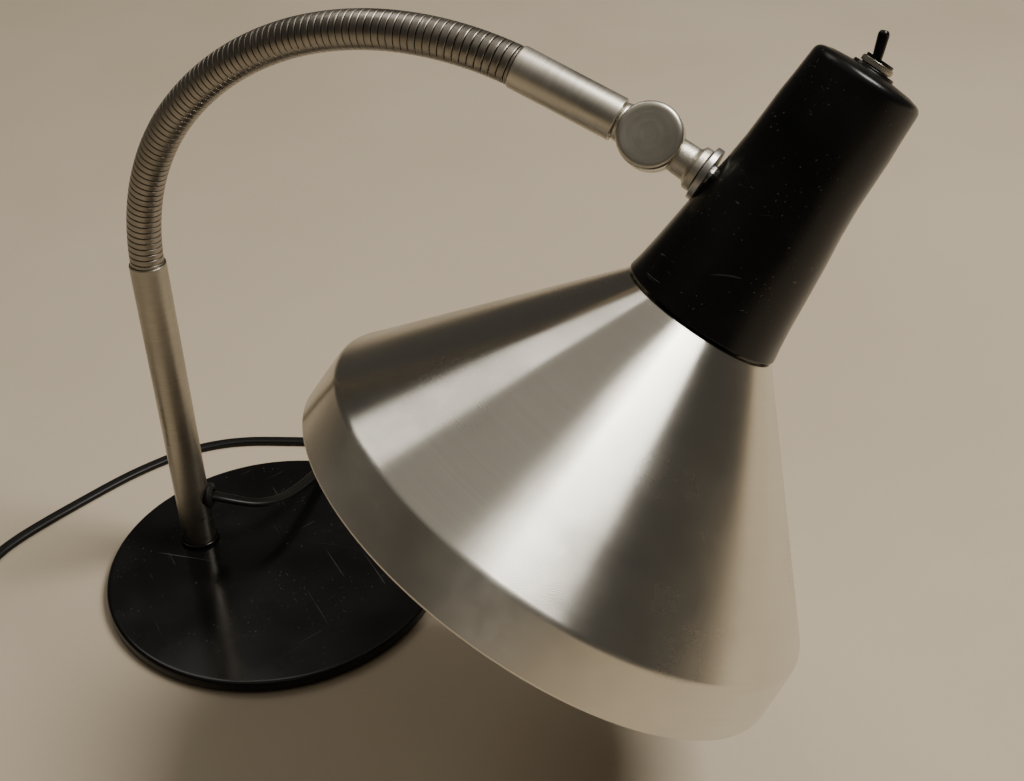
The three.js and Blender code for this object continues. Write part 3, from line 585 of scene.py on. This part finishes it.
def coil_path():
    """Turns wound inwards on the bottom layer, then outwards on the one above it.

    Point = centre + radius * (cos a, sin a), with a running clockwise from the end of the free
    run. radius eases between 39, 33 and 27 mm, and the height rises once, between the layers.
    """
    start = np.array(CORD_ROUTE[-1][:2]) - COIL_CENTRE
    first = math.atan2(start[1], start[0])
    last = math.atan2(TAIL_ROUTE[0][1] - COIL_CENTRE[1], TAIL_ROUTE[0][0] - COIL_CENTRE[0])
    turns = COIL_TURNS + (first - last) % TAU / TAU
    angle = np.arange(0, turns, COIL_STEP)
    end = turns - COIL_STEP
    knots = [0.0, 0.35, 1.0, 1.35, 2.0, 2.35, 4.0, 4.35, 5.0, 5.35, end - 0.16, end]
    radii = [45.4, 39.6, 39.0, 33.0, 33.0, 27.0, 27.0, 33.0, 33.0, 39.0, 39.0, 44.0]
    radius = np.interp(angle, knots, radii)
    level = np.interp(angle, [0, 2.82, 3.06, end - 0.2, end], [2.7, 2.7, 6.1, 6.1, 6.4])
    smooth = np.ones(9) / 9
    radius = np.convolve(np.pad(radius, 4, mode="edge"), smooth, mode="valid")
    level = np.convolve(np.pad(level, 4, mode="edge"), smooth, mode="valid")
    a = first - angle * TAU
    return np.stack([COIL_CENTRE[0] + radius * np.cos(a), COIL_CENTRE[1] + radius * np.sin(a),
                     level], axis=1)


free_run = smooth_path(CORD_ROUTE, ROUTE_SPACING)
tail = smooth_path(TAIL_ROUTE, ROUTE_SPACING)
cord_path = even(np.vstack([free_run[:-2], coil_path()[2:-2], tail[2:]]), CORD_SPACING)
flex = sweep("mains_flex", cord_path, twin_section())
placed(flex, "stand", "pvc_flex", M["pvc_flex"], "cord_run", "cord_coil", "cord_tail")


# ------------------------------------------------------------ base and stem

base = lathe("base_disc", [(0, 1.1), (84.4, 1.1, 0.5), (85, 1.7, 0.4), (85, 6.8, 2.8), (0, 6.8)],
             np.eye(4), 224, steps=10)
placed(base, "stand", "base_enamel", M["base_enamel"], "base_plate")
felt = lathe("base_pad", [(0, 0), (80.8, 0, 0.2), (81, 0.8, 0.3), (0, 0.8)], np.eye(4), 128)
placed(felt, "stand", "felt", M["felt"], "base_felt")
foot = lathe("stem_foot_ring", [(8.6, 7.1), (9.9, 7.1, 0.2), (9.9, 9.0, 0.9), (8.6, 9.0), (8.6, 7.1)],
             STEM, 96)
placed(foot, "stand", "base_enamel", M["base_enamel"], "foot_ring")
stem = lathe("stem_pipe", [(7.3, 7.1), (8.45, 7.1, 0.3), (8.45, 171, 0.5), (7.3, 171), (7.3, 7.1)],
             STEM, 96)
placed(stem, "stand", "nickel", M["nickel"], "stem_tube")
OUTLET = STEM @ moved(0, 0, OUTLET_Z) @ turned("Z", OUTLET_AZIMUTH) @ ALONG_X
grommet = lathe("outlet_bush", [(3.25, 5.7), (5.2, 5.7, 0.3), (5.2, 8.4), (6.6, 8.7, 0.3), (6.6, 9.9, 0.5),
                                (4.6, 11.35, 0.9), (3.25, 11.35, 0.4), (3.25, 5.7)], OUTLET, 64)
placed(grommet, "stand", "rubber", M["rubber"], "cord_grommet")


# ------------------------------------------------------------ gooseneck

def neck_piece(name, start, end, sides=44):
    """A stretch of gooseneck: a flat band with a narrow groove that winds once a pitch.

    groove = exp(-(d / groove width) ** 2), with d the distance along the neck to the middle of
    the nearest groove. radius = neck radius - groove depth * groove, and groove is kept as an
    attribute, which the neck material uses to paint shade into the grooves.
    """
    at = np.linspace(start, end, int(round((end - start) / RIB_PITCH * RINGS_PER_RIB)) + 1)
    angle = np.arange(sides) * TAU / sides
    centre, heading = map(np.array, zip(*map(neck_at, at)))
    normal = np.stack([-np.sin(heading), 0 * heading, np.cos(heading)], axis=-1)
    winding = at[:, None] / RIB_PITCH - angle / TAU
    groove = np.exp(-((winding - np.round(winding)) * RIB_PITCH / GROOVE_WIDTH) ** 2)
    radius = NECK_RADIUS - GROOVE_DEPTH * groove
    grid = centre[:, None] + radius[..., None] * (np.cos(angle)[:, None] * normal[:, None]
                                                  + np.sin(angle)[:, None] * np.array([0.0, 1.0, 0.0]))
    piece = surface(name, grid, at * UV_PER_MM, turn_map(at, angle), capped=True)
    attribute = piece.data.attributes.new("groove", "FLOAT", "POINT")
    attribute.data.foreach_set("value", groove.astype(np.float32).ravel())
    return piece


for i in range(NECK_JOINTS):
    begin, finish = i * NECK_PITCH, (i + 1) * NECK_PITCH
    low = neck_at(begin + BEND_MARGIN)[0] * MM
    high = neck_at(finish - BEND_MARGIN)[0] * MM
    if i == 0:
        begin += NECK_END_GAP
    if i == NECK_JOINTS - 1:
        finish -= NECK_END_GAP
    piece = neck_piece(f"gooseneck_{i + 1}", begin, finish)
    piece.data.materials.append(M["neck_nickel"])
    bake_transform(piece)
    replaced = [f"neck_link_{i}"] + (["neck_link_7"] if i == NECK_JOINTS - 1 else [])
    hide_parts(*replaced)


# ------------------------------------------------------------ sleeve and knuckle

sleeve = lathe("sleeve_pipe", [(7.1, -54.9), (8.2, -54.9, 0.5), (8.2, -13.2, 0.5), (7.1, -13.2),
                               (7.1, -54.9)], SLEEVE @ ALONG_X, 96)
placed(sleeve, "arm_end", "nickel", M["bright_nickel"], "sleeve_tube")


def joined(name, pieces):
    """One mesh object from several."""
    with bpy.context.temp_override(active_object=pieces[0], selected_editable_objects=pieces):
        bpy.ops.object.join()
    pieces[0].name = name
    return pieces[0]


def knuckle_half(name, frame_matrix, side):
    """Round half of the knuckle: flat face, rounded edge, and a fine chamfer at the parting line.

    The rear half, where side is 1, has a round recess in its face for the screw.
    """
    corners = [(0, 0.16), (11.7, 0.16, 0.2), (12.1, 0.6, 0.2), (12.1, 8.4, 2.3), (0, 8.4)]
    if side > 0:
        corners = corners[:-1] + [(5.0, 8.4, 0.3), (4.9, 6.2, 0.3), (0, 6.2)]
    return lathe(name, corners, frame_matrix @ (ALONG_Y if side > 0 else turned("X", 90)), 128, steps=10)


rear = knuckle_half("knuckle_rear_cheek", KNUCKLE, 1)
spigot = lathe("knuckle_spigot", [(0, -25), (6.4, -25, 0.6), (6.4, -9), (0, -9)], KNUCKLE @ ALONG_X, 96)
collar = lathe("knuckle_shoulder", [(0, -13), (6.9, -13, 0.5), (7.4, -10.6), (0, -9)],
               KNUCKLE @ ALONG_X, 96)
rear = joined("knuckle_rear_cheek", [rear, spigot, collar])
placed(rear, "arm_end", "nickel", M["bright_nickel"], "knuckle_rear")
front = knuckle_half("knuckle_front_cheek", SWIVEL, -1)
placed(front, "swivel_arm", "nickel", M["bright_nickel"], "knuckle_front")
swivel_neck = lathe("swivel_neck", [(3.3, 9.2), (6.2, 9.2), (6.4, 12.8, 0.4), (6.5, 17.6, 0.8),
                                    (8.3, 18.7, 0.5), (8.4, 21.6, 0.7), (3.3, 21.6), (3.3, 9.2)],
                    SWIVEL @ ALONG_X, 96)
placed(swivel_neck, "swivel_arm", "nickel", M["cast_nickel"])
saddle = lathe("swivel_flange", [(5.3, 21.95), (10.4, 21.95, 0.5), (10.4, 24.6, 0.4), (5.3, 24.9),
                                 (5.3, 21.95)], SWIVEL @ turned("X", HEAD_SWIVEL) @ ALONG_X, 96)
placed(saddle, "head", "zinc", M["zinc"], "swivel_washer")


# ------------------------------------------------------------ head

housing = lathe("housing_shell", [
    (0, 102.1), (7.0, 102.1), (7.6, 102.1, 0.5), (7.9, 101.1, 0.25), (15.4, 100.4), (20.9, 99.0, 4.6),
    (21.6, 88), (22.3, 80), (22.6, 73), (23.1, 61.5), (24.2, 50.5), (26.0, 38.5), (27.5, 26), (28.9, 14),
    (30.0, 6.5), (31.1, 0.7, 0.5), (29.5, 0.6, 0.3), (26.9, 14), (23.8, 39), (21.2, 60), (20.3, 80),
    (18.6, 94, 2), (0, 99)], HEAD, 192, steps=8)
placed(housing, "head", "phenolic", M["phenolic"], "lamp_housing")
shade = lathe("shade_spinning", [
    (20.4, -0.6), (30.8, -0.6, 0.4), (54.93, -28.6), (78.88, -56.4), (103.1, -84.5, 1.4), (104.0, -95),
    (104.5, -104.6), (104.6, -106.2, 0.9), (103.9, -107, 0.7), (102.9, -106.6, 0.5), (102.8, -105, 0.6),
    (102.5, -95), (102.0, -84.9, 1.2), (78.04, -57.1), (54.08, -29.3), (30.2, -1.6, 0.3), (20.4, -1.6),
    (20.4, -0.6)], HEAD, 288, steps=12)
placed(shade, "head", "spun_aluminium", M["spun_aluminium"], "shade")


def ribs(count, depth, low=None, high=None):
    """Knurling: round ribs along the axis, between two heights where they are given."""
    def add_ribs(angle, radius, height):
        """Added radius = depth * (|cos(count * angle / 2)| - 1), and none outside the heights."""
        if low is not None and not low <= height <= high:
            return 0.0 * angle
        return depth * (np.abs(np.cos(angle * count / 2)) - 1.0)
    return add_ribs


cap = lathe("holder_cap", [(5.2, 20.6), (11, 20.6, 0.6), (14.2, 19.4, 1.5), (18.8, 15.4, 4.5),
                           (18.8, 3.6, 0.4), (16.8, 3.6), (16.8, 11), (10, 17.4), (5.2, 17.4),
                           (5.2, 20.6)], HEAD, 96)
placed(cap, "head", "phenolic", M["phenolic"], "lampholder_cap")
shoulder = lathe("holder_shoulder", [(17, 0.2), (27.4, 0.2, 0.4), (27.4, 3.2, 0.4), (17, 3.2),
                                     (17, 0.2)], HEAD, 96)
placed(shoulder, "head", "phenolic", M["phenolic"], "lampholder_shoulder")
skirt = lathe("holder_skirt", [(16.2, -30), (19.0, -30, 0.6), (19.55, -28.6, 0.4), (19.55, -0.1),
                               (16.2, -0.1), (16.2, -30)], HEAD, 128)
placed(skirt, "head", "phenolic", M["phenolic"], "lampholder_skirt")
ring_piece = lathe("shade_clamp_ring", [(19.95, -8), (25.4, -8, 0.4), (27.3, -6.6, 0.5), (27.35, -2.1, 0.4),
                                        (19.95, -2.0), (19.95, -8)], HEAD, 288, ribs(48, 0.5, -6.4, -2.2))
placed(ring_piece, "head", "phenolic", M["phenolic"], "lampholder_ring")
glass = lathe("bulb_envelope", [
    (11, -25.4), (13.1, -25.4, 0.3), (14.0, -30, 2), (18.2, -41, 4), (24.4, -52, 4), (28.4, -61, 4),
    (30.0, -71, 5), (29.0, -82, 6), (24.0, -92.5, 6), (15.0, -99.4, 6), (0, -101.4),
    (0, -100.4), (14.4, -98.4, 6), (23.2, -91.7, 6), (28.0, -81.6, 6), (28.9, -71, 5), (27.3, -61.4, 4),
    (23.4, -52.5, 4), (17.2, -41.4, 4), (13.0, -30.4, 2), (11, -27), (11, -25.4)], HEAD, 128)
placed(glass, "head", "opal_glass", M["opal_glass"], "bulb_glass")
threads = [(13.1 - 0.55 * (i % 2), -24 + 1.75 * i, 0.5) for i in range(12)]
bulb_foot = lathe("bulb_screw", [
    (13.1, -24.9), *threads, (8.4, -0.1, 0.6), (4.4, 1.6, 0.5), (0, 1.6), (0, -1), (8, -1), (12.3, -4.6),
    (12.3, -24.9), (13.1, -24.9)], HEAD, 96)
placed(bulb_foot, "head", "brass", M["brass"], "bulb_cap")
dress_nut = lathe("switch_dress_nut", [(5.5, 102.5), (6.0, 102.5, 0.15), (6.0, 103.8, 0.2),
                                       (5.8, 104.5, 0.2), (5.5, 104.5), (5.5, 102.5)],
                  HEAD, 240, ribs(40, 0.22, 102.7, 104.0))
placed(dress_nut, "head", "nickel", M["nickel"], "switch_nut")
LEVER = HEAD @ moved(0, 0, SWITCH_PIVOT) @ turned("Y", LEVER_LEAN)
lever = lathe("toggle_lever", [(0, -1), (1, -1, 0.3), (1.55, 2.5, 0.6), (1.8, 6, 1), (2.0, 12.2, 1.0),
                               (1.3, 13.4, 0.7), (0, 13.4)], LEVER, 64)
placed(lever, "switch_lever", "phenolic", M["phenolic"], "switch_lever")


# ------------------------------------------------------------ plug

plug_x, plug_y, _ = TAIL_ROUTE[-1]
PLUG = moved(plug_x, plug_y, 0) @ turned("Z", PLUG_HEADING)
boot_corners = [(1.95, 0.35), (3.2, 0.35, 0.3)]
for i in range(5):
    at = 1.6 + 2.0 * i
    flare = 0.34 * i
    boot_corners += [(3.25 + flare, at, 0.2), (2.75 + flare, at + 0.5, 0.2), (3.35 + flare, at + 1.1, 0.2)]
boot_corners += [(5.2, 10.95, 0.3), (1.95, 10.95), (1.95, 0.35)]
boot = lathe("plug_relief", boot_corners, PLUG @ moved(0, 0, PLUG_HEIGHT) @ ALONG_X, 64)
placed(boot, "stand", "rubber", M["rubber"], "plug_boot")
for side in (-1, 1):
    label = "left" if side < 0 else "right"
    pin = lathe(f"pin_{label}", [(0, 44.7), (2.0, 44.7), (2.0, 50.6, 0.1), (1.98, 51.0),
                                 (1.98, 63.2, 1.2), (0, 63.2)],
                PLUG @ moved(0, side * PIN_REACH, PLUG_HEIGHT) @ ALONG_X, 48)
    placed(pin, "stand", "brass", M["brass"], f"plug_pin_{label}")

CAD_FINISH = {
    "zinc": ["base_washer", "base_nut", "base_nipple", "stem_foot_bush", "stem_top_bush", "sleeve_bush",
             "knuckle_screw", "knuckle_spring_washer", "swivel_nipple", "swivel_inner_washer", "swivel_nut",
             "holder_bracket", "holder_nipple", "holder_nut"],
    "phenolic": ["switch_body", "plug_body"],
    "rubber": ["cord_tie"],
    "pvc_flex": ["flex_in_stem", "flex_in_sleeve", "flex_in_swivel", "switch_lead_left",
                 "switch_lead_right"],
    "brass": ["screw_shell", "centre_contact", "switch_terminal_left", "switch_terminal_right"],
    "steatite": ["contact_carrier"],
}
# Width in metres of the rounded edges on the CAD pieces that show their corners
EASED_EDGES = {"plug_body": 0.0012, "cord_tie": 0.0002, "holder_bracket": 0.0002, "swivel_nut": 0.0002,
               "holder_nut": 0.0002}
for finish_name, names in CAD_FINISH.items():
    for node_name in names:
        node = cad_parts[node_name]
        node.data.materials.clear()
        node.data.materials.append(M[finish_name])
for node_name, width in EASED_EDGES.items():
    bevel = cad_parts[node_name].modifiers.new("edges", "BEVEL")
    bevel.width = width
    bevel.segments = 4
    bevel.limit_method = "ANGLE"
    bevel.angle_limit = math.radians(20)


# ------------------------------------------------------------ table and light

def table_material():
    """Plain pale matt table: a slow drift of tone and a fine tooth."""
    material, tree, bsdf = shader("pale_table", 0.0, 0.62)
    vector = object_vector(tree)
    broad = noise(tree, vector, 3.0, 3)
    fine = noise(tree, vector, 240, 3)
    tone = mixed(tree, ramp(tree, broad, 0.3, 0.7), (0.50, 0.425, 0.315), (0.56, 0.48, 0.365))
    tone = mixed(tree, ramp(tree, fine, 0.3, 0.75, 0.0, 0.12), tone, (0.44, 0.37, 0.27))
    tree.links.new(tone, bsdf.inputs["Base Color"])
    add_bump(tree, bsdf, fine, 0.00004)
    return material


bpy.ops.mesh.primitive_plane_add(size=40, location=(0, 2.0, 0))
table_top = bpy.context.active_object
table_top.name = "table_top"
table_top.data.materials.append(table_material())


def area_light(name, place, target, size, power, colour):
    """A rectangular lamp at place that faces target, in metres and watts."""
    data = bpy.data.lights.new(name, "AREA")
    data.shape = "RECTANGLE"
    data.size, data.size_y = size
    data.energy = power
    data.color = colour
    light = bpy.data.objects.new(name, data)
    light.location = place
    light.rotation_euler = (Vector(target) - Vector(place)).to_track_quat("-Z", "Y").to_euler()
    bpy.context.scene.collection.objects.link(light)


area_light("window", (1.20, 0.48, 2.11), (0.15, 0, 0.1), (0.9, 0.92), 60, (1.0, 0.95, 0.88))
area_light("side_window", (-1.05, 0.66, 2.0), (0.06, 0, 0.1), (1.0, 0.85), 5, (1.0, 0.94, 0.86))
world = bpy.data.worlds.new("room")
world.use_nodes = True
background = world.node_tree.nodes["Background"]
background.inputs[0].default_value = (0.55, 0.50, 0.43, 1)
direction = add_node(world.node_tree, "ShaderNodeTexCoord").outputs["Generated"]
height = add_node(world.node_tree, "ShaderNodeSeparateXYZ", {0: direction}).outputs["Z"]
world.node_tree.links.new(ramp(world.node_tree, height, 0.60, 0.90, 0.11, 0.6), background.inputs[1])
bpy.context.scene.world = world
